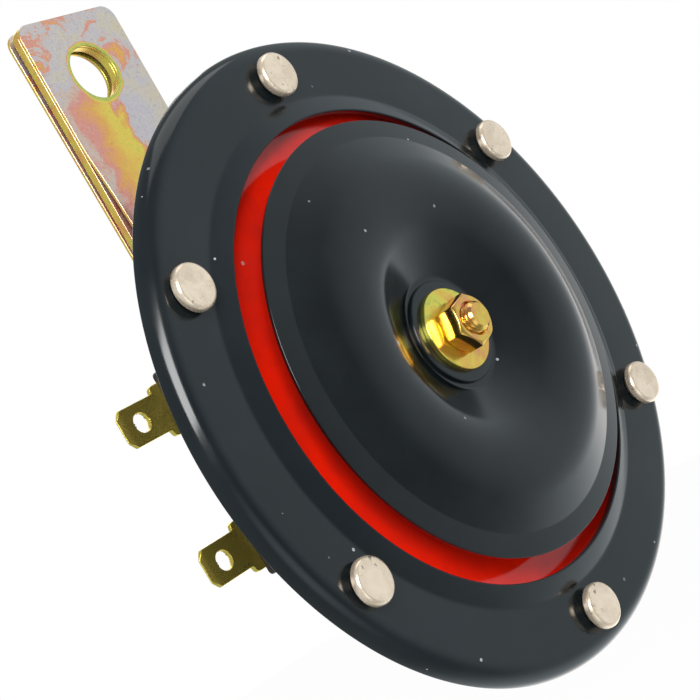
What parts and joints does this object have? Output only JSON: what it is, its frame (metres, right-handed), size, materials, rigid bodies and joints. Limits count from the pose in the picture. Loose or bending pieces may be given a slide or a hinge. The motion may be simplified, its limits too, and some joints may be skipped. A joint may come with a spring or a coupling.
{
  "type": "car horn",
  "caption": "Electric disc horn with a riveted clamp ring, a tone disc on a vibrating diaphragm and a leaf bracket.",
  "frame": {"origin": "centre of the bracket mounting hole, in the middle of the thick leaf", "axes": "+Z along the bracket away from the horn, -Y the way the horn's front faces, +X to the right of one who looks along +Y"},
  "size_m": [0.1124, 0.0578, 0.1374],
  "materials": {
    "black_paint": "gloss",
    "red_paint": "gloss",
    "plated_steel": "satin",
    "zinc_steel": "yellow zinc plated",
    "spring_brass": "satin",
    "copper_wire": "enamelled copper",
    "contact_silver": "silver",
    "phenolic": "matte",
    "gasket_paper": "matte"
  },
  "bodies": {
    "horn_body": {"adjusting_nut": "zinc_steel", "adjusting_screw": "zinc_steel", "bracket_front_leaf": "zinc_steel", "bracket_lock_washer": "zinc_steel", "bracket_middle_leaf": "zinc_steel", "bracket_nut": "zinc_steel", "bracket_rear_leaf": "zinc_steel", "bracket_spacer": "zinc_steel", "breaker_base_insulator": "phenolic", "breaker_clamp_plate": "zinc_steel", "breaker_fixed_arm": "spring_brass", "breaker_middle_insulator": "phenolic", "breaker_moving_arm": "spring_brass", "breaker_screws": "plated_steel", "breaker_terminal": "spring_brass", "breaker_top_insulator": "phenolic", "clamp_ring": "black_paint", "coil_bobbin": "phenolic", "coil_terminal": "spring_brass", "coil_winding": "copper_wire", "diaphragm": "red_paint", "fixed_contact": "contact_silver", "front_gasket": "gasket_paper", "inner_terminal_insulator": "phenolic", "pole_core": "zinc_steel", "rear_gasket": "gasket_paper", "rear_housing": "black_paint", "seam_rivets": "plated_steel", "terminal_insulator": "phenolic", "terminal_rivets": "spring_brass", "yoke_plate": "zinc_steel"},
    "tone_disc_assembly": {"armature": "plated_steel", "armature_stud": "zinc_steel", "rear_support_washer": "plated_steel", "front_support_washer": "plated_steel", "tone_disc_sleeve": "zinc_steel", "tone_disc": "black_paint", "tone_disc_black_washer": "black_paint", "tone_disc_zinc_washer": "zinc_steel", "tone_disc_nut": "zinc_steel", "moving_contact": "contact_silver"}
  },
  "joints": [
    {"name": "diaphragm_travel", "type": "slide", "parent": "horn_body", "child": "tone_disc_assembly", "axis": [0, 1, 0], "range_m": [0, 0.0006], "stiffness_N_per_m": 20000, "deforming": ["diaphragm", "breaker_moving_arm"]}
  ]
}
